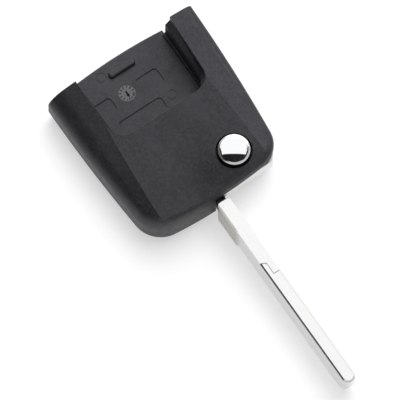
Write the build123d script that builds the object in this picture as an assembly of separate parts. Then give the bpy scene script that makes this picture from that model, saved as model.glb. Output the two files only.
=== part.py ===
from build123d import *
import math
import os

# Head of a flip key with its uncut blade swung out, in millimetres.
# The origin is where the flip axis meets the back face. +Y runs along the open blade to its tip,
# +X across the head to its far side, +Z out of the button face.

# Blade
blade_offset = 8.0
blade_thickness = 3.0
blade_height = 8.2
blade_bottom_z = 1.8
blade_tip_y = 57.6
blade_tip_radius = 1.45
blade_nose_radius = 4.9
blade_edge_break = 0.35
blade_top_step = 0.4
boss_start_y = 7.6
boss_end_y = 15.8
boss_far_side = 0.3
boss_near_side = 0.1
boss_corner = 0.9
boss_fade_y = 19.0
raised_end_y = 24.8
raised_strip_end_y = 27.6
raised_edge = 0.2
tang_thickness = 2.2
tang_shoulder = 1.65
tang_start_y = -3.8

# Head outline
blade_cover = 1.73
side_bow_radius = 380.0
side_skew = 0.013
side_skew_y = -14.0
front_y = 6.8
front_arc_radius = 110.0
corner_radius = 7.0
floor_plate = 1.7
roof_plate = 2.2
parting_z = 3.2

# Shoulder, from the side wall up to the crease round the flat top
shoulder_angle_near = 81.0
shoulder_angle_far = 76.0
shoulder_drop = 0.7
shoulder_reach = 6.0
shoulder_levels = 9
crease_inset_mid = 6.4
crease_mid_y = -16.5
crease_spread = 0.13
crease_inset_front = 0.9
crease_corner_radius = 1.6

# Underside, from the widest level down to the back face
widest_z = 4.0
underside_angle = 75.0
underside_inset = 3.0
underside_corner_radius = 4.4

# Bay for the remote module, open past the rail ends
bay_end_y = -16.2
bay_length = 17.6
bay_wall = 1.5
bay_corner_radius = 3.7
bay_flare = 0.06
bay_rim_break = 0.25
far_rail_width = 7.48
far_rail_short = 0.9
guide_ledge = 0.75
guide_flare = 0.035
guide_lip = 2.4
guide_slope = 1.2
guide_bead = 0.1
guide_bead_height = 0.9

# Floor of the bay, which sticks out past the rails; its marks are placed from the bay's end and its edge
tongue_reach = 0.07
tongue_bulge = 1.63
tongue_edge_break = 0.3
tongue_gap_near = 0.15
tongue_gap_far = 0.7
latch_length = 6.7
latch_width = 1.6
latch_height = 1.0
latch_top_radius = 0.5
latch_from_edge = 3.2
panel_depth = 0.3
panel_corner = 0.9
dial_radius = 2.0
dial_depth = 0.06
ejector_radius = 1.2
ejector_ring = 0.22
ejector_depth = 0.12
floor_step_depth = 0.12
floor_step_from_centre = 7.6

# Hub
hub_past_blade = 0.5
hub_flat_y = 6.0
flange_thickness = 3.5
sleeve_wall = 0.52
hub_floor = 1.0
hub_gap_below = 0.2
hub_gap_above = 0.4
clevis_wall = 0.8
clevis_web = 1.5
clevis_front_y = 3.4
clevis_back_y = -4.6

# Pivot post and the tray's recessed front
post_height = 2.3
post_slot = 1.2
tray_front_y = 4.2

# Release button
button_radius = 3.65
button_proud = 1.5
button_edge_radius = 0.6
button_dome_radius = 18.0
button_hole_gap = 0.45
button_travel = 1.8
button_cup_lip = 0.5
button_cup_wall = 0.45
button_cup_top = 1.3
button_stop_gap = 0.9
lug_width = 2.6
lug_past_sleeve = 1.7
lug_height = 1.8
lug_angle = -35.0

# Spring, roll pin, capsule, screw and pegs
spring_wire = 0.7
spring_least_pitch = 1.0
spring_leg = 2.0
spring_leg_radius = 0.3
spring_leg_overlap = 0.1
spring_gap_outside = 0.15
spring_gap_inside = 0.6
pin_radius = 0.8
pin_bore = 0.45
pin_slit = 0.35
pin_y = 2.0
pin_recess = 0.2
capsule_radius = 1.6
capsule_length = 12.0
capsule_from_side = 2.0
capsule_y = -8.4
screw_from_side = 8.8
screw_y = 0.6
screw_head_radius = 1.9
screw_head_height = 1.2
screw_radius = 0.95
screw_length = 7.0
screw_slot = 0.5
peg_radius = 1.0
peg_height = 2.0
peg_from_side = 4.1
peg_from_bay = 3.6

# Clearances
running_fit = 0.08
slide_gap = 0.25
pin_fit = 0.03
seat_gap = 0.1
blade_gap_above = 0.3

# Sizes that follow
beyond = 8.0
head_centre_x = blade_offset
half_width_open = 2 * blade_offset + blade_thickness / 2 + blade_cover
rail_end_y = bay_end_y - bay_length
head_far_x = head_centre_x + half_width_open
blade_top_z = blade_bottom_z + blade_height
blade_mid_z = blade_bottom_z + blade_height / 2
slot_top_z = blade_top_z + blade_gap_above
head_height = slot_top_z + roof_plate
bevel_start_z = head_height - shoulder_drop
blade_far_x = blade_offset + blade_thickness / 2
blade_near_x = blade_offset - blade_thickness / 2
boss_far_x = blade_far_x + boss_far_side
boss_near_x = blade_near_x - boss_near_side
bay_near_x = slide_gap + bay_wall - blade_near_x
bay_far_x = head_far_x - far_rail_width
guide_bead_top_z = parting_z + guide_bead_height
guide_slope_top_z = head_height - guide_lip
guide_top_z = guide_slope_top_z - guide_slope
tongue_edge_y = rail_end_y - tongue_reach
tongue_near_x = bay_near_x + guide_ledge - guide_flare * bay_length + tongue_gap_near
tongue_far_x = bay_far_x - guide_ledge - tongue_gap_far
hub_radius = blade_offset + hub_past_blade
hub_bottom_z = floor_plate + hub_gap_below
hub_floor_z = hub_bottom_z + hub_floor
hub_top_z = slot_top_z - hub_gap_above
flange_bottom_z = hub_top_z - flange_thickness
clevis_near_x = boss_near_x
clevis_start_x = clevis_near_x - clevis_web
clevis_far_x = boss_far_x + seat_gap
tang_far_x = blade_offset + tang_thickness / 2
clevis_sweep = math.hypot(clevis_far_x, clevis_front_y) + slide_gap
tang_sweep = math.hypot(tang_far_x, boss_start_y) + slide_gap
cup_radius = button_radius + button_cup_lip
cup_top_z = slot_top_z - seat_gap
cup_bottom_z = hub_floor_z + button_travel + button_stop_gap
sleeve_radius = cup_radius + running_fit + sleeve_wall
lug_reach = sleeve_radius + lug_past_sleeve
spring_radius = cup_radius - button_cup_wall - spring_gap_outside - spring_wire / 2
post_radius = spring_radius - spring_wire / 2 - spring_gap_inside
bow_at_capsule = (capsule_y - rail_end_y) ** 2 / (2 * side_bow_radius)
capsule_x = head_far_x - bow_at_capsule - capsule_from_side - capsule_length / 2
screw_x = head_far_x - screw_from_side
peg_places = (
    (head_far_x - peg_from_side - slide_gap, bay_end_y + peg_from_bay),
    (head_far_x - peg_from_side - slide_gap, 0.0),
    (bay_near_x + 2 * peg_from_bay, bay_end_y + peg_from_bay),
)


def block(x0, x1, y0, y1, z0, z1):
    """A box given by its two corners."""
    corner = (Align.MIN, Align.MIN, Align.MIN)
    return Pos(x0, y0, z0) * Box(x1 - x0, y1 - y0, z1 - z0, align=corner)


def disc(radius, z0, z1, x=0.0, y=0.0):
    """A round post or bore between two levels."""
    return Pos(x, y, z0) * Cylinder(radius, z1 - z0, align=(Align.CENTER, Align.CENTER, Align.MIN))


def half_width(y):
    """Half the head's width at a place along it; the sides bow in towards the front."""
    along = y - rail_end_y
    return half_width_open - side_bow_radius + math.sqrt(side_bow_radius**2 - along**2)


def centre_x(y):
    """Where the head's centre line runs, a little askew to the open blade."""
    return head_centre_x + side_skew * (y - side_skew_y)


def crease_inset(y):
    """How far the crease lies in from the side at a place along the head."""
    return crease_inset_mid - crease_spread * (y - crease_mid_y)


def shoulder_share(z, angle):
    """How far in the shoulder's arc has come at one level, as a share of the whole shoulder."""
    lean = math.radians(angle)
    radius = (shoulder_reach - shoulder_drop * math.tan(lean)) / (1 - math.cos(lean))
    up = z - bevel_start_z + radius * math.sin(lean)
    if up <= 0:
        return 0.0
    return (radius - math.sqrt(radius**2 - up**2)) / shoulder_reach


def head_level(z, near, far, front, radius):
    """The head's outline at one level, run on past the rails, from how far each side has come in."""
    back_y = rail_end_y - beyond
    corner_y = front_y - front_arc_radius + math.sqrt(front_arc_radius**2 - half_width(front_y) ** 2)
    corner_y -= front
    mid_y = (back_y + corner_y) / 2
    near_back = (centre_x(back_y) - half_width(back_y) + near[0], back_y)
    near_mid = (centre_x(mid_y) - half_width(mid_y) + sum(near) / 2, mid_y)
    near_corner = (centre_x(corner_y) - half_width(corner_y) + near[1], corner_y)
    far_corner = (centre_x(corner_y) + half_width(corner_y) - far[1], corner_y)
    far_mid = (centre_x(mid_y) + half_width(mid_y) - sum(far) / 2, mid_y)
    far_back = (centre_x(back_y) + half_width(back_y) - far[0], back_y)
    sides = [
        ThreePointArc(near_back, near_mid, near_corner),
        ThreePointArc(near_corner, (head_centre_x, front_y - front), far_corner),
        ThreePointArc(far_corner, far_mid, far_back),
        Line(far_back, near_back),
    ]
    outline = make_face(sides)
    corners = outline.vertices().group_by(Axis.Y)[-1]
    return Pos(0, 0, z) * fillet(corners, radius)


def shoulder_level(z, near_share, far_share):
    """The head's outline where the two sides and the front have come in by these shares."""
    creases = (crease_inset(rail_end_y - beyond), crease_inset(front_y))
    near = [near_share * inset for inset in creases]
    far = [far_share * inset for inset in creases]
    radius = corner_radius + (crease_corner_radius - corner_radius) * (near_share + far_share) / 2
    return head_level(z, near, far, crease_inset_front * far_share, radius)


def head_body():
    """The whole head before it is hollowed: underside, wall and rounded shoulder, then the flat bevel."""
    levels = []
    low_span = 1 - math.cos(math.radians(underside_angle))
    for angle in (underside_angle, underside_angle * 2 / 3, underside_angle / 3, 0.0):
        share = (1 - math.cos(math.radians(angle))) / low_span
        drop = widest_z * math.sin(math.radians(angle)) / math.sin(math.radians(underside_angle))
        inset = underside_inset * share
        radius = corner_radius + (underside_corner_radius - corner_radius) * share
        levels.append(head_level(widest_z - drop, (inset, inset), (inset, inset), inset, radius))
    for step in range(1, shoulder_levels + 1):
        z = widest_z + (bevel_start_z - widest_z) * math.sin(math.pi / 2 * step / shoulder_levels)
        near_share = shoulder_share(z, shoulder_angle_near)
        far_share = shoulder_share(z, shoulder_angle_far)
        levels.append(shoulder_level(z, near_share, far_share))
    bevel = loft([levels[-1], shoulder_level(head_height, 1, 1)], ruled=True)
    return loft(levels) + bevel


def bay_plan(inset, flare, z):
    """The bay's outline at one level; the near wall flares towards the open end."""
    end_y = bay_end_y - inset
    back_y = rail_end_y - beyond
    near_x = bay_near_x + inset
    far_x = bay_far_x - inset
    mouth_x = near_x - flare * (end_y - back_y)
    outline = Polyline((mouth_x, back_y), (near_x, end_y), (far_x, end_y), (far_x, back_y), close=True)
    plan = make_face(outline)
    corners = plan.vertices().group_by(Axis.Y)[-1]
    return Pos(0, 0, z) * fillet(corners, bay_corner_radius - inset)


def bay_space():
    """The hollow that takes the remote module, with a guide ledge low on each rail."""
    bead = extrude(bay_plan(guide_ledge + guide_bead, 0, parting_z), guide_bead_height)
    ledge = bay_plan(guide_ledge, guide_flare, guide_bead_top_z)
    waist = extrude(ledge, guide_top_z - guide_bead_top_z)
    slope_start = bay_plan(guide_ledge, guide_flare, guide_top_z)
    slope = loft([slope_start, bay_plan(0, bay_flare, guide_slope_top_z)], ruled=True)
    mouth = extrude(bay_plan(0, bay_flare, guide_slope_top_z), head_height + 1 - guide_slope_top_z)
    rim_start = bay_plan(0, bay_flare, head_height - bay_rim_break)
    rim = loft([rim_start, bay_plan(-2 * bay_rim_break, bay_flare, head_height + bay_rim_break)], ruled=True)
    return bead + waist + slope + mouth + rim


def blade_way(z0, z1):
    """The space the hub and blade sweep through, with the slot that the folded blade lies in."""
    near = -(boss_near_x - slide_gap)
    narrow = -(blade_near_x - slide_gap)
    outer = -(half_width_open + beyond)
    slot = Polyline(
        (near, 0),
        (near, bay_end_y),
        (narrow, bay_end_y - bay_corner_radius),
        (narrow, rail_end_y - beyond),
        (outer, rail_end_y - beyond),
        (outer, 0),
        close=True,
    )
    way = extrude(Pos(0, 0, z0) * make_face(slot), z1 - z0)
    way += disc(hub_radius + 2 * running_fit, z0, z1)
    way += block(-clevis_sweep, slide_gap - clevis_start_x, -clevis_front_y - slide_gap, 0, z0, z1)
    reach = beyond * 2
    way += disc(clevis_sweep, z0, z1) & block(-reach, reach, clevis_back_y - slide_gap, reach, z0, z1)
    way += disc(tang_sweep, z0, z1) & block(-reach, tang_far_x + slide_gap, 0, reach, z0, z1)
    return way


def past_rails(z0, z1):
    """Everything past the ends of the two rails; the far rail is the shorter one."""
    outer = half_width_open + head_centre_x + beyond
    room = rail_end_y - 2 * beyond
    near = block(-outer, outer, room, rail_end_y, z0, z1)
    return near + block(head_centre_x, outer, room, rail_end_y + far_rail_short, z0, z1)


def make_upper_shell(head):
    """The black cover: flat top, rails, button hole and the slot for the blade."""
    shell = split(head, Plane.XY.offset(parting_z), keep=Keep.TOP)
    shell -= past_rails(0, head_height + 1)
    shell -= bay_space()
    shell -= blade_way(parting_z - 1, slot_top_z)
    shell -= disc(button_radius + button_hole_gap, slot_top_z - 1, head_height + 1)
    shell -= capsule_pocket()
    shell -= disc(screw_radius + pin_fit, 0, screw_head_height + screw_length, screw_x, screw_y)
    for x, y in peg_places:
        shell -= disc(peg_radius + running_fit, 0, parting_z + peg_height + seat_gap, x, y)
    return shell


def capsule_pocket():
    """The pocket over the parting line that holds the glass capsule."""
    room = capsule_radius + seat_gap
    half = capsule_length / 2 + seat_gap
    pocket = block(-half, half, -room, room, -1, 2 * room)
    return Pos(capsule_x, capsule_y, parting_z) * pocket


def make_lower_shell(head):
    """The black tray: back face, pivot post, bay floor with its moulded marks and the latch rib."""
    tray = split(head, Plane.XY.offset(parting_z), keep=Keep.BOTTOM)
    tray -= past_tongue()
    lip = tray.edges().group_by(Axis.Z)[-1].sort_by(Axis.Y)[0]
    tray = chamfer(lip, tongue_edge_break)
    sides = block(-beyond * 4, tongue_near_x, rail_end_y - beyond * 2, bay_end_y, -1, parting_z + 1)
    sides += block(tongue_far_x, beyond * 8, rail_end_y - beyond * 2, bay_end_y, -1, parting_z + 1)
    tray -= sides & past_rails(-1, parting_z + 1)
    tray -= blade_way(floor_plate, parting_z + 1)
    tray -= block(-beyond * 4, clevis_far_x + slide_gap, tray_front_y, beyond * 2, -1, parting_z + 1)
    tray += disc(post_radius, floor_plate - 0.5, floor_plate + post_height)
    half_slot = post_slot / 2
    tray -= block(-post_radius, post_radius, -half_slot, half_slot, hub_floor_z, parting_z + post_height)
    tray -= floor_marks()
    rib = block(-latch_length / 2, latch_length / 2, -latch_width / 2, latch_width / 2, -0.5, latch_height)
    rib = fillet(rib.edges().filter_by(Axis.Z), latch_top_radius * 1.1)
    rib = fillet(rib.faces().sort_by(Axis.Z)[-1].edges(), latch_top_radius)
    tray += Pos(head_centre_x, tongue_edge_y - tongue_bulge + latch_from_edge, parting_z) * rib
    for x, y in peg_places:
        peg = disc(peg_radius, parting_z - 0.5, parting_z + peg_height, x, y)
        tray += chamfer(peg.faces().sort_by(Axis.Z)[-1].edges(), peg_radius / 4)
    head_room = screw_head_radius + slide_gap
    tray -= disc(head_room, -1, screw_head_height, screw_x, screw_y)
    tray -= disc(screw_radius + running_fit, 0, parting_z + 1, screw_x, screw_y)
    return tray


def past_tongue():
    """Everything past the bowed edge of the bay's floor."""
    near_edge = (bay_near_x - beyond, tongue_edge_y)
    far_edge = (bay_far_x + beyond, tongue_edge_y)
    room = tongue_edge_y - beyond * 2
    outline = [
        ThreePointArc(near_edge, (head_centre_x, tongue_edge_y - tongue_bulge), far_edge),
        Line(far_edge, (far_edge[0], room)),
        Line((far_edge[0], room), (near_edge[0], room)),
        Line((near_edge[0], room), near_edge),
    ]
    return extrude(Pos(0, 0, -1) * make_face(outline), parting_z + 2)


def floor_marks():
    """Shallow panels, a round date dial, ejector marks and one faint step moulded into the bay floor."""
    from_mouth = Pos(head_centre_x, rail_end_y, parting_z)
    from_end = Pos(head_centre_x, bay_end_y, parting_z)
    step_far = -floor_step_from_centre
    step = from_end * block(-half_width_open, step_far, -bay_length - beyond, 0, -floor_step_depth, 1)
    near_panel = block(-6.4, -0.8, 5.3, 9.3, -panel_depth, 1)
    far_panel = block(5.9, 10.6, 5.4, 9.3, -panel_depth, 1)
    long_panel = block(-3.5, 7.9, -6.1, -2.8, -panel_depth, 1)
    ring = disc(ejector_radius, -ejector_depth, 1) - disc(ejector_radius - ejector_ring, -1, 2)
    marks = step + from_mouth * disc(dial_radius, -dial_depth, 1, 2.2, 6.9)
    marks += from_mouth * Pos(4.9, 0.7, 0) * ring
    marks += from_end * Pos(-5.8, -4.9, 0) * ring
    for place, panel in ((from_mouth, near_panel), (from_mouth, far_panel), (from_end, long_panel)):
        marks += place * fillet(panel.edges().filter_by(Axis.Z), panel_corner)
    return marks


def button_lugs(gap, low_z, high_z):
    """The two wings on the button's cup, which ride in slots in the hub."""
    reach = lug_reach + gap
    half = lug_width / 2 + gap
    return Rot(0, 0, lug_angle) * block(-reach, reach, -half, half, low_z, high_z)


def make_release_button():
    """Chrome button: a domed cap on a hollow cup, with two lugs that turn the hub."""
    button_top_z = head_height + button_proud
    cap = disc(button_radius, cup_top_z - 0.5, button_top_z)
    cap &= Pos(0, 0, button_top_z - button_dome_radius) * Rot(90, 0, 0) * Sphere(button_dome_radius)
    cap = fillet(cap.faces().sort_by(Axis.Z)[-1].edges(), button_edge_radius)
    cup = disc(cup_radius, cup_bottom_z, cup_top_z)
    cup += button_lugs(0, cup_top_z - lug_height, cup_top_z)
    cup -= disc(cup_radius - button_cup_wall, cup_bottom_z - 1, cup_top_z - button_cup_top)
    return cap + cup


def make_blade_hub():
    """Cast hub: a flange with a flat front, a sleeve round the button's cup and a clevis for the blade."""
    flange = disc(hub_radius, flange_bottom_z, hub_top_z)
    flange -= block(-hub_radius, hub_radius, hub_flat_y, hub_radius + 1, 0, head_height)
    hub = flange + disc(sleeve_radius, hub_bottom_z, hub_top_z)
    clevis = block(clevis_start_x, clevis_far_x, clevis_back_y, clevis_front_y, hub_bottom_z, hub_top_z)
    outer = clevis.edges().filter_by(Axis.Z).group_by(Axis.X)[-1]
    hub += fillet(outer, clevis_wall)
    hub -= disc(cup_radius + running_fit, hub_floor_z, head_height)
    hub -= disc(post_radius + running_fit, 0, head_height)
    hub -= button_lugs(running_fit, flange_bottom_z - seat_gap, head_height)
    hub -= tang_solid(pin_fit)
    hub -= pin_hole(pin_radius + pin_fit)
    return hub


def tang_solid(gap):
    """The thin end of the blade that goes into the hub."""
    near = blade_offset - tang_thickness / 2 - gap
    low = blade_bottom_z + tang_shoulder - gap
    high = blade_top_z - tang_shoulder + gap
    return block(near, tang_far_x + gap, tang_start_y - gap, boss_start_y + 1, low, high)


def pin_hole(radius):
    """The cross hole for the roll pin, from the clevis's outer face to just short of the sleeve."""
    start = clevis_near_x + pin_recess
    length = clevis_far_x + 1 - start
    bore = Cylinder(radius, length, align=(Align.CENTER, Align.CENTER, Align.MIN))
    return Pos(start, pin_y, blade_mid_z) * Rot(0, 90, 0) * bore


def make_key_blade():
    """Uncut steel blade standing on its narrow edge, with a thick root, a raised back and a rounded tip."""
    shank_top_z = blade_top_z - blade_top_step
    shank = block(blade_near_x, blade_far_x, boss_start_y + 1, blade_tip_y, blade_bottom_z, shank_top_z)
    nose = shank.edges().filter_by(Axis.X).group_by(Axis.Y)[-1].sort_by(Axis.Z)[0]
    shank = fillet(nose, blade_nose_radius)
    tip_plan = block(blade_near_x, blade_far_x, boss_start_y, blade_tip_y, 0, head_height)
    tip_plan = fillet(tip_plan.edges().filter_by(Axis.Z).group_by(Axis.Y)[-1], blade_tip_radius)
    shank &= tip_plan
    top_edges = shank.faces().sort_by(Axis.Z)[-1].edges()
    shank = chamfer(top_edges.filter_by(Axis.X, reverse=True), blade_edge_break)
    plan = Polyline(
        (boss_near_x, boss_start_y),
        (boss_far_x, boss_start_y),
        (boss_far_x, boss_end_y - boss_far_side),
        (blade_far_x, boss_end_y),
        (blade_far_x, raised_end_y - 4 * raised_edge),
        (blade_offset + raised_edge, raised_end_y),
        (blade_offset + raised_edge, raised_strip_end_y),
        (blade_near_x + raised_edge, raised_strip_end_y),
        (blade_near_x, boss_fade_y),
        (boss_near_x, boss_end_y),
        close=True,
    )
    raised = extrude(Pos(0, 0, blade_bottom_z) * make_face(plan), blade_height)
    raised -= block(0, 2 * blade_offset, boss_fade_y, blade_tip_y, 0, blade_mid_z)
    rear = raised.edges().filter_by(Axis.Z).group_by(Axis.Y)[0]
    raised = fillet(rear, boss_corner)
    blade = shank + raised + tang_solid(0)
    blade -= pin_hole(pin_radius + pin_fit)
    return blade


def make_blade_roll_pin():
    """Slit spring-steel tube through the clevis and the blade's tang."""
    start = clevis_near_x + pin_recess + pin_fit
    length = clevis_far_x - pin_recess - start
    centre = (Align.CENTER, Align.CENTER, Align.MIN)
    tube = Cylinder(pin_radius, length, align=centre) - Cylinder(pin_bore, length, align=centre)
    tube -= Box(pin_radius * 2, pin_slit, length, align=(Align.MIN, Align.CENTER, Align.MIN))
    return Pos(start, pin_y, blade_mid_z) * Rot(0, 90, 0) * tube


def make_flip_spring():
    """Coil spring round the pivot post, its lower leg held in the post's slot."""
    base_z = hub_floor_z + seat_gap + spring_wire / 2
    free_top = cup_top_z - button_cup_top - button_travel - seat_gap - spring_wire / 2
    quarter_turns = math.floor(4 * (free_top - base_z) / spring_least_pitch)
    pitch = 4 * (free_top - base_z) / quarter_turns
    path = Helix(pitch, free_top - base_z, spring_radius)
    start = Plane(origin=path @ 0, z_dir=path % 0)
    coil = sweep(start * Circle(spring_wire / 2), path=path, is_frenet=True)
    leg_turn = math.degrees((spring_wire / 2 + spring_leg_overlap) / spring_radius)
    leg = Rot(0, -90, 0) * disc(spring_leg_radius, 0, spring_leg)
    leg = Pos(spring_radius, 0, pitch * leg_turn / 360) * leg
    return Pos(0, 0, base_z) * (Rot(0, 0, -leg_turn) * coil + leg)


def make_transponder_capsule():
    """Glass capsule of the immobiliser, lying in its pocket."""
    capsule = Rot(0, 90, 0) * Cylinder(capsule_radius, capsule_length)
    capsule = fillet(capsule.edges().filter_by(GeomType.CIRCLE), capsule_radius * 0.9)
    return Pos(capsule_x, capsule_y, parting_z + capsule_radius + seat_gap / 2) * capsule


def make_case_screw():
    """Small pan-head screw that holds the shells together from the back."""
    head = disc(screw_head_radius, 0, screw_head_height - seat_gap)
    head = fillet(head.faces().sort_by(Axis.Z)[0].edges(), 0.4)
    screw = head + disc(screw_radius, 0, screw_length)
    for angle in (0, 90):
        cross = Box(screw_head_radius * 1.3, screw_slot, screw_head_height, align=Align.CENTER)
        screw -= Rot(0, 0, angle) * cross
    return Pos(screw_x, screw_y, seat_gap / 2) * screw


head = head_body()
pieces = {
    "upper_shell": make_upper_shell(head),
    "lower_shell": make_lower_shell(head),
    "release_button": make_release_button(),
    "blade_hub": make_blade_hub(),
    "key_blade": make_key_blade(),
    "blade_roll_pin": make_blade_roll_pin(),
    "flip_spring": make_flip_spring(),
    "transponder_capsule": make_transponder_capsule(),
    "case_screw": make_case_screw(),
}

os.makedirs("parts", exist_ok=True)
for name, shape in pieces.items():
    export_step(shape, f"parts/{name}.step")
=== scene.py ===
import math

import bmesh
import bpy
from mathutils import Matrix, Vector


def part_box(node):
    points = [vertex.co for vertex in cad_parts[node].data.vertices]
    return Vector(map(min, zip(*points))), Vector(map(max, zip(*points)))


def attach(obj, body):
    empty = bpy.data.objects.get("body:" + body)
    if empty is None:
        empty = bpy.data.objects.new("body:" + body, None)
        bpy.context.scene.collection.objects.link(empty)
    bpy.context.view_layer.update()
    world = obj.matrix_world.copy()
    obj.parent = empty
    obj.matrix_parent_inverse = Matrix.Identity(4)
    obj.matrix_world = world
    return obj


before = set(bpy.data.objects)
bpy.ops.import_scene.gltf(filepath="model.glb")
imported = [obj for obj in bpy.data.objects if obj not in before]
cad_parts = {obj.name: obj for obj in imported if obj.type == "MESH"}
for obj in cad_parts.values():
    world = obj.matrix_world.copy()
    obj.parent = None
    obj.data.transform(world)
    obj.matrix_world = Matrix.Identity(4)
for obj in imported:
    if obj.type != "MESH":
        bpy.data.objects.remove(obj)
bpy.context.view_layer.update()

MM = 0.001
UP = Vector((0.0, 0.0, 1.0))
WHITE = (1.0, 1.0, 1.0, 1.0)

# Camera, at the photograph's viewing angle
CAMERA_AZIMUTH = math.radians(145.9)
CAMERA_ELEVATION = math.radians(71.0)
CAMERA_TARGET = Vector((10.2, 1.75, 0.0)) * MM
CAMERA_DISTANCE = 3.0
CAMERA_CLIP_START = 0.01
CAMERA_CLIP_END = 100.0
PHOTO_PIXELS = 400
PIXELS_PER_MM = 4.55
SENSOR_WIDTH = 36.0

# Nearly all of a noise lies between these values
NOISE_LOW = 0.3
NOISE_HIGH = 0.7

# Finishes
PLASTIC_SHEEN = (0.93, 0.91, 1.0, 1.0)
BELOW_CHROME_BLACK = (0.010, 0.0097, 0.011)
CHROME = (0.715, 0.72, 0.725)
NICKEL = (0.715, 0.715, 0.71)
# Darker nickel, painted shade on the blade root's flank
PAINTED_SHADE_NICKEL = (0.45, 0.435, 0.41)
GLASS_CLEARNESS = 0.6
MARK_SHEEN = 0.25
MATT = 0.9

# The button turns from black to chrome between these heights, in millimetres over the floor
CHROME_FOOT = 12.1
CHROME_START = 12.3

# The blade root's far flank beside the hub's fork, which painted shade darkens, in millimetres
FLANK_X = (9.2, 9.5)
FLANK_END_Y = (14.8, 16.4)

# The date dial on the bay's floor, in millimetres
DIAL_CENTRE = Vector((10.2, -26.9, 0.0))
DIAL_FOOT = 3.13
DIAL_TOP = 3.19
DIAL_RADIUS = 1.93
DIAL_RIM = 0.03
DIAL_RIM_STEPS = 2
DIAL_SEGMENTS = 72
ARROW_RING_RADIUS = 1.0
ARROW_RING_GROOVE = 0.05
ARROW_RING_DEPTH = 0.03
ARROW_LENGTH = 1.2
ARROW_WIDTH = 0.46
ARROW_HEAD = 0.46
ARROW_HEAD_CORNERS = 3
MARK_RAISE = 0.03
NUMBER_SIZE = 0.74
NUMBER_WEIGHT = 0.024
NUMBER_SPACING = 1.15
NUMBER_RADIUS = 1.48
NUMBER_CURVE_STEPS = 3
NUMBER_MERGE = 0.0005
MONTHS = 12

# Floor and surround
FLOOR_SIZE = 30.0
FLOOR_DROP = 0.02 * MM
FLOOR_GREY = 0.9
FLOOR_SHEEN = 0.1
FLOOR_GLOW = 0.52
FLOOR_SHADE = 0.52
SURROUND = 0.30
SURROUND_IN_GLOSS = 0.7

# Soft boxes in metres. Each edge is given by how far it is towards the photograph's top and
# above the floor.
BOX_NEAR = (0.19, 0.98)
BOX_MIDDLE = (0.60, 0.86)
BOX_FAR = (1.05, 0.48)
BOX_WIDTH = 0.58
FAR_WIDTH = 1.2
FAR_SHIFT = 0.25
NEAR_RADIANCE = 0.64
FAR_RADIANCE = 2.2

# The key lamp and the card at the left, in metres. Each edge's middle is given by how far it is
# to the photograph's right, towards its top and above the floor.
KEY_NEAR = (0.22, -0.10, 1.35)
KEY_FAR = (0.22, 0.80, 1.10)
KEY_WIDTH = 1.05
KEY_RADIANCE = 3.9
LEFT_CARD_FOOT = (-0.9, 0.0, 0.02)
LEFT_CARD_TOP = (-0.35, 0.0, 1.1)
LEFT_CARD_WIDTH = 1.2
LEFT_CARD_GREY = 0.16

# The small flag over the button, in millimetres. It is a grid with one face cut out as a notch.
# Each row of its corners is given by how far it is towards the photograph's top, and half the
# notch's width there.
FLAG_GREY = 0.03
FLAG_ABOVE = 8.0
FLAG_HALF_WIDTH = 7.6
FLAG_COLUMNS = 3
FLAG_ROWS = 2
FLAG_ROW_PLACES = ((-5.0, 4.8), (0.35, 4.8), (9.0, 7.2))


def link(piece):
    """Puts an object in the scene."""
    bpy.context.scene.collection.objects.link(piece)
    return piece


def add_piece(name, mesh, place, material):
    """Makes an object of a mesh, with its place in the mesh."""
    data = bpy.data.meshes.new(name)
    mesh.to_mesh(data)
    mesh.free()
    data.transform(place)
    data.materials.append(material)
    return link(bpy.data.objects.new(name, data))


def square_grid(mesh, columns=1, rows=1):
    """A flat grid, one across each way."""
    return bmesh.ops.create_grid(mesh, x_segments=columns, y_segments=rows, size=0.5)["verts"]


def camera_back():
    """The direction from the object to the camera."""
    flat = math.cos(CAMERA_ELEVATION)
    return Vector((
        math.sin(CAMERA_AZIMUTH) * flat,
        -math.cos(CAMERA_AZIMUTH) * flat,
        math.sin(CAMERA_ELEVATION),
    ))


def make_camera():
    """The camera looks down on the head from far off, as a long lens does."""
    data = bpy.data.cameras.new("camera")
    data.sensor_width = SENSOR_WIDTH
    view_width = PHOTO_PIXELS / PIXELS_PER_MM * MM
    data.lens = SENSOR_WIDTH * CAMERA_DISTANCE / view_width
    data.clip_start = CAMERA_CLIP_START
    data.clip_end = CAMERA_CLIP_END
    camera = link(bpy.data.objects.new("camera", data))
    back = camera_back()
    camera.location = CAMERA_TARGET + back * CAMERA_DISTANCE
    camera.rotation_mode = "QUATERNION"
    camera.rotation_quaternion = (-back).to_track_quat("-Z", "Y")
    bpy.context.scene.camera = camera


def sum_of(tree, operation, first, second):
    """The result of one sum on two values, each a node's output or a plain number."""
    node = tree.nodes.new("ShaderNodeMath")
    node.operation = operation
    for place, value in zip(node.inputs, (first, second)):
        if isinstance(value, float):
            place.default_value = value
        else:
            tree.links.new(value, place)
    return node.outputs[0]


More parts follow.
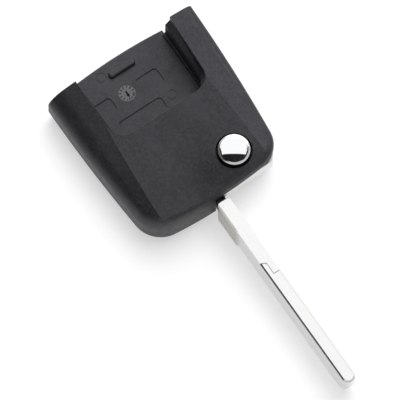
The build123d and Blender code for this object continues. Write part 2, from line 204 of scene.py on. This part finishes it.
class Finish:
    """A material whose patterns lie on the object's own coordinates."""

    def __init__(self, name, colour, metallic, roughness):
        self.material = bpy.data.materials.new(name)
        self.material.use_nodes = True
        self.tree = self.material.node_tree
        self.nodes = self.tree.nodes
        self.links = self.tree.links
        self.shader = self.nodes["Principled BSDF"]
        self.set("Base Color", (*colour, 1.0))
        self.set("Metallic", metallic)
        self.set("Roughness", roughness)
        self.place = self.nodes.new("ShaderNodeTexCoord").outputs["Object"]

    def set(self, name, value):
        """Gives one of the shader's sockets a plain value."""
        self.shader.inputs[name].default_value = value

    def lead(self, value, name):
        """Lets a node's output set one of the shader's sockets."""
        self.links.new(value, self.shader.inputs[name])

    def stretched(self, scale):
        """The object's coordinates, stretched along an axis for a brushed look."""
        mapping = self.nodes.new("ShaderNodeMapping")
        mapping.inputs["Scale"].default_value = scale
        self.links.new(self.place, mapping.inputs["Vector"])
        return mapping.outputs["Vector"]

    def noise(self, feature, detail=2.0, where=None):
        """Soft noise whose features are about this size in millimetres."""
        texture = self.nodes.new("ShaderNodeTexNoise")
        texture.inputs["Scale"].default_value = 1 / (feature * MM)
        texture.inputs["Detail"].default_value = detail
        self.links.new(where or self.place, texture.inputs["Vector"])
        return texture.outputs["Fac"]

    def spread(self, value, low, high, start=NOISE_LOW, end=NOISE_HIGH):
        """A value between start and end, turned into one between low and high."""
        span = self.nodes.new("ShaderNodeMapRange")
        span.inputs["From Min"].default_value = start
        span.inputs["From Max"].default_value = end
        span.inputs["To Min"].default_value = low
        span.inputs["To Max"].default_value = high
        self.links.new(value, span.inputs["Value"])
        return span.outputs["Result"]

    def share(self, value, low, high):
        """A value between 0 and 1, turned into one between low and high."""
        return self.spread(value, low, high, 0.0, 1.0)

    def along(self, axis, foot, start):
        """0 below one place on an axis, in millimetres, and 1 past the other."""
        place = self.nodes.new("ShaderNodeSeparateXYZ")
        self.links.new(self.place, place.inputs["Vector"])
        return self.spread(place.outputs[axis], 0.0, 1.0, foot * MM, start * MM)

    def gloss(self, feature, low, high, detail=3.0):
        """Lets the roughness vary over the surface."""
        self.lead(self.spread(self.noise(feature, detail), low, high), "Roughness")

    def colour(self, value, dark, light):
        """Lets the colour vary over the surface."""
        ramp = self.nodes.new("ShaderNodeValToRGB")
        places = (NOISE_LOW, NOISE_HIGH)
        for stop, place, shade in zip(ramp.color_ramp.elements, places, (dark, light)):
            stop.position = place
            stop.color = (*shade, 1.0)
        self.links.new(value, ramp.inputs["Fac"])
        self.lead(ramp.outputs["Color"], "Base Color")

    def relief(self, value, depth, under=None):
        """Raises and lowers the surface by this many millimetres."""
        bump = self.nodes.new("ShaderNodeBump")
        bump.inputs["Distance"].default_value = depth * MM
        self.links.new(value, bump.inputs["Height"])
        if under is not None:
            self.links.new(under, bump.inputs["Normal"])
        self.lead(bump.outputs["Normal"], "Normal")
        return bump.outputs["Normal"]

    def grain(self, feature, depth, detail=2.0, under=None):
        """Relief of soft noise, with its feature size and depth in millimetres."""
        return self.relief(self.noise(feature, detail), depth, under)


def cloud_plastic(finish, clouds, speckles, contrast, dark, light):
    """The clouds and speckles of moulded black plastic, and its cool sheen."""
    cloud = finish.spread(finish.noise(clouds), NOISE_LOW, NOISE_HIGH)
    speckle = finish.spread(finish.noise(speckles, detail=3.0), -contrast, contrast)
    finish.colour(sum_of(finish.tree, "ADD", cloud, speckle), dark, light)
    finish.set("Specular Tint", PLASTIC_SHEEN)


def moulded_black():
    """The cover's black plastic with a fine spark-eroded grain."""
    finish = Finish("moulded_black", (0.011, 0.0107, 0.012), metallic=0.0, roughness=0.45)
    cloud_plastic(
        finish, clouds=8.0, speckles=0.58, contrast=0.38,
        dark=(0.0066, 0.0063, 0.0074), light=(0.0155, 0.0151, 0.0168),
    )
    finish.gloss(feature=1.6, low=0.41, high=0.51)
    orange_peel = finish.grain(feature=0.75, depth=0.018)
    finish.grain(feature=0.26, depth=0.020, detail=3.0, under=orange_peel)
    return finish.material


def moulded_tray():
    """The tray's black plastic, a little smoother and lighter than the cover's."""
    finish = Finish("moulded_tray", (0.023, 0.0226, 0.025), metallic=0.0, roughness=0.42)
    cloud_plastic(
        finish, clouds=6.0, speckles=0.5, contrast=0.24,
        dark=(0.0155, 0.0152, 0.0170), light=(0.0285, 0.0280, 0.0305),
    )
    finish.gloss(feature=2.2, low=0.38, high=0.48)
    orange_peel = finish.grain(feature=0.8, depth=0.010)
    finish.grain(feature=0.3, depth=0.014, detail=3.0, under=orange_peel)
    return finish.material


def bright_chrome():
    """The button's mirror plating over a polished cap, and black and rougher below its chrome
    line.
    """
    finish = Finish("bright_chrome", CHROME, metallic=1.0, roughness=0.05)
    # Black below the chrome line, which darkens what shows in the gap round the cap
    plated = finish.along("Z", CHROME_FOOT, CHROME_START)
    finish.lead(plated, "Metallic")
    finish.colour(plated, dark=BELOW_CHROME_BLACK, light=CHROME)
    polish = finish.spread(finish.noise(1.5, detail=3.0), low=0.035, high=0.065)
    moulded = finish.share(plated, low=0.45, high=0.0)
    finish.lead(sum_of(finish.tree, "ADD", polish, moulded), "Roughness")
    finish.grain(feature=2.5, depth=0.0006)
    return finish.material


def cast_zinc():
    """The hub's satin plating over a casting."""
    finish = Finish("cast_zinc", (0.735, 0.73, 0.715), metallic=1.0, roughness=0.3)
    finish.gloss(feature=0.6, low=0.30, high=0.40, detail=4.0)
    finish.grain(feature=0.5, depth=0.0010)
    return finish.material


def nickel_blade():
    """The blade's nickel plating over milled steel, with faint lines along its length. On the
    root's flank it is rougher, and painted darker as shade from the dark shell beside it."""
    finish = Finish("nickel_blade", NICKEL, metallic=1.0, roughness=0.16)
    lines = finish.noise(0.12, where=finish.stretched((1.0, 0.03, 1.0)))
    inward, forward = finish.along("X", *FLANK_X), finish.along("Y", *FLANK_END_Y)
    painted_shade_flank = finish.share(sum_of(finish.tree, "SUBTRACT", inward, forward), low=0.0, high=1.0)
    # Painted shade: the root's flank is darker, for the dark shell beside the hub
    finish.colour(painted_shade_flank, dark=NICKEL, light=PAINTED_SHADE_NICKEL)
    brushed = finish.spread(lines, low=0.11, high=0.22)
    flank_roughness = finish.share(painted_shade_flank, low=0.0, high=0.14)
    finish.lead(sum_of(finish.tree, "ADD", brushed, flank_roughness), "Roughness")
    finish.relief(lines, depth=0.0015)
    return finish.material


def sprung_steel():
    """Drawn spring steel, oiled and darker than plating."""
    finish = Finish("sprung_steel", (0.42, 0.41, 0.40), metallic=1.0, roughness=0.3)
    finish.gloss(feature=0.5, low=0.24, high=0.38)
    finish.grain(feature=0.2, depth=0.003)
    return finish.material


def capsule_glass():
    """The immobiliser capsule's tinted glass."""
    finish = Finish("capsule_glass", (0.22, 0.26, 0.24), metallic=0.0, roughness=0.05)
    finish.set("Transmission Weight", GLASS_CLEARNESS)
    finish.gloss(feature=3.0, low=0.03, high=0.08, detail=2.0)
    return finish.material


def zinc_screw():
    """Bright zinc plating on a small screw."""
    finish = Finish("zinc_screw", (0.62, 0.63, 0.65), metallic=1.0, roughness=0.28)
    finish.gloss(feature=0.4, low=0.22, high=0.36)
    finish.grain(feature=0.25, depth=0.003, detail=3.0)
    return finish.material


def dial_plastic():
    """The date dial's face, which a polished steel insert moulds smoother than the floor. Its
    colour, lighter than the tray's, is a painted sheen.
    """
    finish = Finish("dial_plastic", (0.094, 0.093, 0.097), metallic=0.0, roughness=0.3)
    finish.gloss(feature=0.5, low=0.25, high=0.36)
    finish.colour(finish.noise(0.8), dark=(0.078, 0.077, 0.081), light=(0.108, 0.107, 0.111))
    finish.grain(feature=0.25, depth=0.002)
    return finish.material


def dial_mark_plastic():
    """The dial's marks, painted darker than its face as the shade that falls on moulded marks."""
    finish = Finish("dial_mark_plastic", (0.004, 0.004, 0.0043), metallic=0.0, roughness=0.6)
    finish.gloss(feature=0.3, low=0.5, high=0.7)
    finish.colour(finish.noise(0.4), dark=(0.003, 0.003, 0.0033), light=(0.005, 0.005, 0.0054))
    finish.grain(feature=0.15, depth=0.002)
    finish.set("Specular IOR Level", MARK_SHEEN)
    return finish.material


def matt_grey(name, grey):
    """A plain matt grey for the staging."""
    return Finish(name, (grey, grey, grey), metallic=0.0, roughness=MATT)


def add_dial_piece(name, mesh, material):
    """One piece of the date dial, riding on the head."""
    bmesh.ops.recalc_face_normals(mesh, faces=mesh.faces[:])
    piece = add_piece(name, mesh, Matrix.Translation(DIAL_CENTRE * MM), material)
    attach(piece, "head")


def raise_faces(mesh, height):
    """Extrudes every face upwards by this many millimetres, and gives the raised corners."""
    grown = bmesh.ops.extrude_face_region(mesh, geom=mesh.faces[:])["geom"]
    raised = [part for part in grown if isinstance(part, bmesh.types.BMVert)]
    bmesh.ops.translate(mesh, verts=raised, vec=UP * (height * MM))
    return raised


def make_dial_face(material):
    """A low round face with a groove round its arrow."""
    mesh = bmesh.new()
    bmesh.ops.create_circle(
        mesh, cap_ends=True, segments=DIAL_SEGMENTS, radius=DIAL_RADIUS * MM,
        matrix=Matrix.Translation(UP * (DIAL_FOOT * MM)),
    )
    raised = raise_faces(mesh, DIAL_TOP - DIAL_FOOT)
    rim = [edge for edge in mesh.edges if all(corner in raised for corner in edge.verts)]
    bmesh.ops.bevel(
        mesh, geom=rim, offset=DIAL_RIM * MM, segments=DIAL_RIM_STEPS, profile=0.5,
        affect="EDGES", material=-1,
    )
    top = max(mesh.faces, key=lambda side: side.calc_center_median().z + side.calc_area())
    steps = (
        (DIAL_RADIUS - DIAL_RIM - ARROW_RING_RADIUS, 0.0),
        (ARROW_RING_GROOVE, -ARROW_RING_DEPTH),
        (ARROW_RING_GROOVE, ARROW_RING_DEPTH),
    )
    for inward, upward in steps:
        bmesh.ops.inset_individual(
            mesh, faces=[top], thickness=inward * MM, depth=upward * MM, use_even_offset=True
        )
    add_dial_piece("date_dial_face", mesh, material)


def make_dial_arrow(material):
    """The arrow that points at a month, a shaft with a three-cornered head."""
    mesh = bmesh.new()
    shaft = square_grid(mesh)
    bmesh.ops.scale(mesh, verts=shaft, vec=(ARROW_WIDTH * MM, ARROW_LENGTH * MM, 1.0))
    head = bmesh.ops.create_circle(
        mesh, cap_ends=True, segments=ARROW_HEAD_CORNERS, radius=ARROW_HEAD * MM,
        matrix=Matrix.Translation((0.0, ARROW_LENGTH / 2 * MM, 0.0)),
    )["verts"]
    bmesh.ops.translate(mesh, verts=shaft + head, vec=UP * ((DIAL_TOP - MARK_RAISE) * MM))
    raise_faces(mesh, 2 * MARK_RAISE)
    add_dial_piece("date_dial_arrow", mesh, material)


def number_mesh(month):
    """A month's plain number as a flat-topped mesh at the dial's middle."""
    letters = bpy.data.curves.new("month", "FONT")
    letters.body = str(month)
    letters.size = NUMBER_SIZE * MM
    letters.align_x = "CENTER"
    letters.align_y = "CENTER"
    letters.extrude = MARK_RAISE * MM
    letters.offset = NUMBER_WEIGHT * MM
    letters.space_character = NUMBER_SPACING
    letters.resolution_u = NUMBER_CURVE_STEPS
    text = bpy.data.objects.new("month", letters)
    data = bpy.data.meshes.new_from_object(text)
    bpy.data.objects.remove(text)
    bpy.data.curves.remove(letters)
    return data


def make_dial_numbers(material):
    """The months round the dial as plain numbers, standing a little proud."""
    mesh = bmesh.new()
    out = Matrix.Translation(Vector((0.0, NUMBER_RADIUS, DIAL_TOP)) * MM)
    for month in range(1, MONTHS + 1):
        data = number_mesh(month)
        data.transform(Matrix.Rotation(-month * math.tau / MONTHS, 4, "Z") @ out)
        mesh.from_mesh(data)
        bpy.data.meshes.remove(data)
    bmesh.ops.remove_doubles(mesh, verts=mesh.verts[:], dist=NUMBER_MERGE * MM)
    add_dial_piece("date_dial_numbers", mesh, material)


def make_date_dial():
    """The mould maker's date dial in its recess in the bay's floor."""
    # Painted shade: the arrow and numbers are coloured dark for the shade on moulded marks
    marks = dial_mark_plastic()
    # Painted sheen: the dial's face is coloured lighter than the tray's plastic
    make_dial_face(dial_plastic())
    make_dial_arrow(marks)
    make_dial_numbers(marks)


def dress(node, material):
    """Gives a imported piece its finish."""
    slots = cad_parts[node].data.materials
    if not slots:
        slots.append(material)
    for index in range(len(slots)):
        slots[index] = material


def dress_pieces():
    """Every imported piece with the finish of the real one."""
    finishes = {
        "upper_shell": moulded_black(),
        "lower_shell": moulded_tray(),
        "release_button": bright_chrome(),
        "blade_hub": cast_zinc(),
        "key_blade": nickel_blade(),
        "blade_roll_pin": sprung_steel(),
        "transponder_capsule": capsule_glass(),
        "case_screw": zinc_screw(),
    }
    finishes["flip_spring"] = finishes["blade_roll_pin"]
    for node, material in finishes.items():
        dress(node, material)


def lift_floor(finish):
    """Shows the floor near white to the camera, gloss and glass, with the part's shadow on it."""
    tree, nodes, links = finish.tree, finish.nodes, finish.links
    rays = nodes.new("ShaderNodeLightPath").outputs
    seen = sum_of(tree, "MAXIMUM", rays["Is Camera Ray"], rays["Is Glossy Ray"])
    seen = sum_of(tree, "MAXIMUM", seen, rays["Is Transmission Ray"])
    glow = nodes.new("ShaderNodeEmission")
    glow.inputs["Color"].default_value = WHITE
    glow.inputs["Strength"].default_value = FLOOR_GLOW
    shade = nodes.new("ShaderNodeBsdfDiffuse")
    shade.inputs["Color"].default_value = (FLOOR_SHADE, FLOOR_SHADE, FLOOR_SHADE, 1.0)
    both = nodes.new("ShaderNodeAddShader")
    links.new(glow.outputs[0], both.inputs[0])
    links.new(shade.outputs[0], both.inputs[1])
    mix = nodes.new("ShaderNodeMixShader")
    links.new(seen, mix.inputs["Fac"])
    links.new(finish.shader.outputs[0], mix.inputs[1])
    links.new(both.outputs[0], mix.inputs[2])
    links.new(mix.outputs[0], nodes["Material Output"].inputs["Surface"])


def make_floor():
    """A plain pale floor under the part."""
    finish = matt_grey("pale_floor", FLOOR_GREY)
    finish.set("Specular IOR Level", FLOOR_SHEEN)
    lift_floor(finish)
    mesh = bmesh.new()
    square_grid(mesh)
    place = Matrix.Translation(-UP * FLOOR_DROP) @ Matrix.Scale(FLOOR_SIZE, 4)
    add_piece("floor", mesh, place, finish.material)


def photo_axes():
    """The level directions to the photograph's right and towards its top."""
    back = camera_back()
    away = Vector((-back.x, -back.y, 0.0)).normalized()
    return away.cross(UP), away


def from_photo(right, up, height):
    """A place given in metres to the photograph's right, towards its top, and above the floor."""
    side, away = photo_axes()
    return CAMERA_TARGET + side * right + away * up + UP * height


def laid(middle, side, along, upward):
    """The matrix that lays a flat thing on these axes at a place."""
    return Matrix.Translation(middle) @ Matrix((side, along, upward)).transposed().to_4x4()


def between(first_edge, second_edge):
    """The middle between two level edges, the way along them, and the way across to the next."""
    across = second_edge - first_edge
    side = across.normalized().cross(UP).normalized()
    return (first_edge + second_edge) / 2, side, across


def make_soft_box(name, near_edge, far_edge, width, radiance):
    """A rectangular soft box between two edges level with the floor, facing the part."""
    middle, side, across = between(near_edge, far_edge)
    data = bpy.data.lights.new(name, "AREA")
    data.shape = "RECTANGLE"
    data.size = width
    data.size_y = across.length
    data.energy = radiance * math.pi * width * across.length
    lamp = link(bpy.data.objects.new(name, data))
    across.normalize()
    lamp.matrix_world = laid(middle, side, across, side.cross(across))
    lamp.visible_camera = False
    return lamp


def hide_from_all_but_gloss(card):
    """Leaves a card in what the metal and the plastic's sheen show, and nowhere else."""
    card.visible_camera = False
    card.visible_diffuse = False
    card.visible_shadow = False


def make_left_card():
    """A dark card at the photograph's left, which the moulded shoulder and the blade show."""
    middle, side, across = between(from_photo(*LEFT_CARD_FOOT), from_photo(*LEFT_CARD_TOP))
    mesh = bmesh.new()
    square_grid(mesh)
    place = laid(middle, side * LEFT_CARD_WIDTH, across, side.cross(across).normalized())
    grey = matt_grey("left_card", LEFT_CARD_GREY).material
    hide_from_all_but_gloss(add_piece("left_card", mesh, place, grey))


def make_button_flag():
    """A small notched dark flag over the button. It gives the chrome the dark strip that the
    photograph shows under the bright part."""

    def towards_top(face):
        middle = face.calc_center_median()
        return middle.y - abs(middle.x)

    mesh = bmesh.new()
    square_grid(mesh, FLAG_COLUMNS, FLAG_ROWS)
    notch = max(mesh.faces, key=towards_top)
    for corner in mesh.verts:
        upward, notch_half_width = FLAG_ROW_PLACES[round((corner.co.y + 0.5) * FLAG_ROWS)]
        outer = abs(corner.co.x) > 1 / FLAG_COLUMNS
        half_width = FLAG_HALF_WIDTH if outer else notch_half_width
        corner.co.x = math.copysign(half_width * MM, corner.co.x)
        corner.co.y = upward * MM
    bmesh.ops.delete(mesh, geom=[notch], context="FACES")
    low, high = (Vector(corner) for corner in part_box("release_button"))
    middle = (low + high) / 2
    middle.z = high.z + FLAG_ABOVE * MM
    grey = matt_grey("button_flag", FLAG_GREY).material
    place = laid(middle, *photo_axes(), UP)
    hide_from_all_but_gloss(add_piece("button_flag", mesh, place, grey))


def make_surround():
    """White for the camera, pale for gloss and glass, and dimmer as light on the part."""
    world = bpy.data.worlds.new("surround")
    bpy.context.scene.world = world
    world.use_nodes = True
    tree = world.node_tree
    rays = tree.nodes.new("ShaderNodeLightPath").outputs
    strength = rays["Is Camera Ray"]
    for ray in ("Is Glossy Ray", "Is Transmission Ray"):
        pale = sum_of(tree, "MULTIPLY", rays[ray], SURROUND_IN_GLOSS)
        strength = sum_of(tree, "MAXIMUM", strength, pale)
    strength = sum_of(tree, "MAXIMUM", strength, SURROUND)
    surround = tree.nodes["Background"]
    surround.inputs["Color"].default_value = WHITE
    tree.links.new(strength, surround.inputs["Strength"])


def make_lights():
    """Two soft boxes towards the photograph's top, which gloss shows, and a key lamp above the
    part, which gloss doesn't show."""
    near_edge, middle = from_photo(0.0, *BOX_NEAR), from_photo(0.0, *BOX_MIDDLE)
    make_soft_box("near_box", near_edge, middle, BOX_WIDTH, NEAR_RADIANCE)
    middle, far_edge = from_photo(FAR_SHIFT, *BOX_MIDDLE), from_photo(FAR_SHIFT, *BOX_FAR)
    make_soft_box("far_box", middle, far_edge, FAR_WIDTH, FAR_RADIANCE)
    near_edge, far_edge = from_photo(*KEY_NEAR), from_photo(*KEY_FAR)
    key = make_soft_box("key", near_edge, far_edge, KEY_WIDTH, KEY_RADIANCE)
    key.visible_glossy = False


make_left_card()
make_button_flag()
make_surround()
make_camera()
make_floor()
make_lights()
dress_pieces()
make_date_dial()

bpy.context.scene.view_settings.view_transform = "Standard"
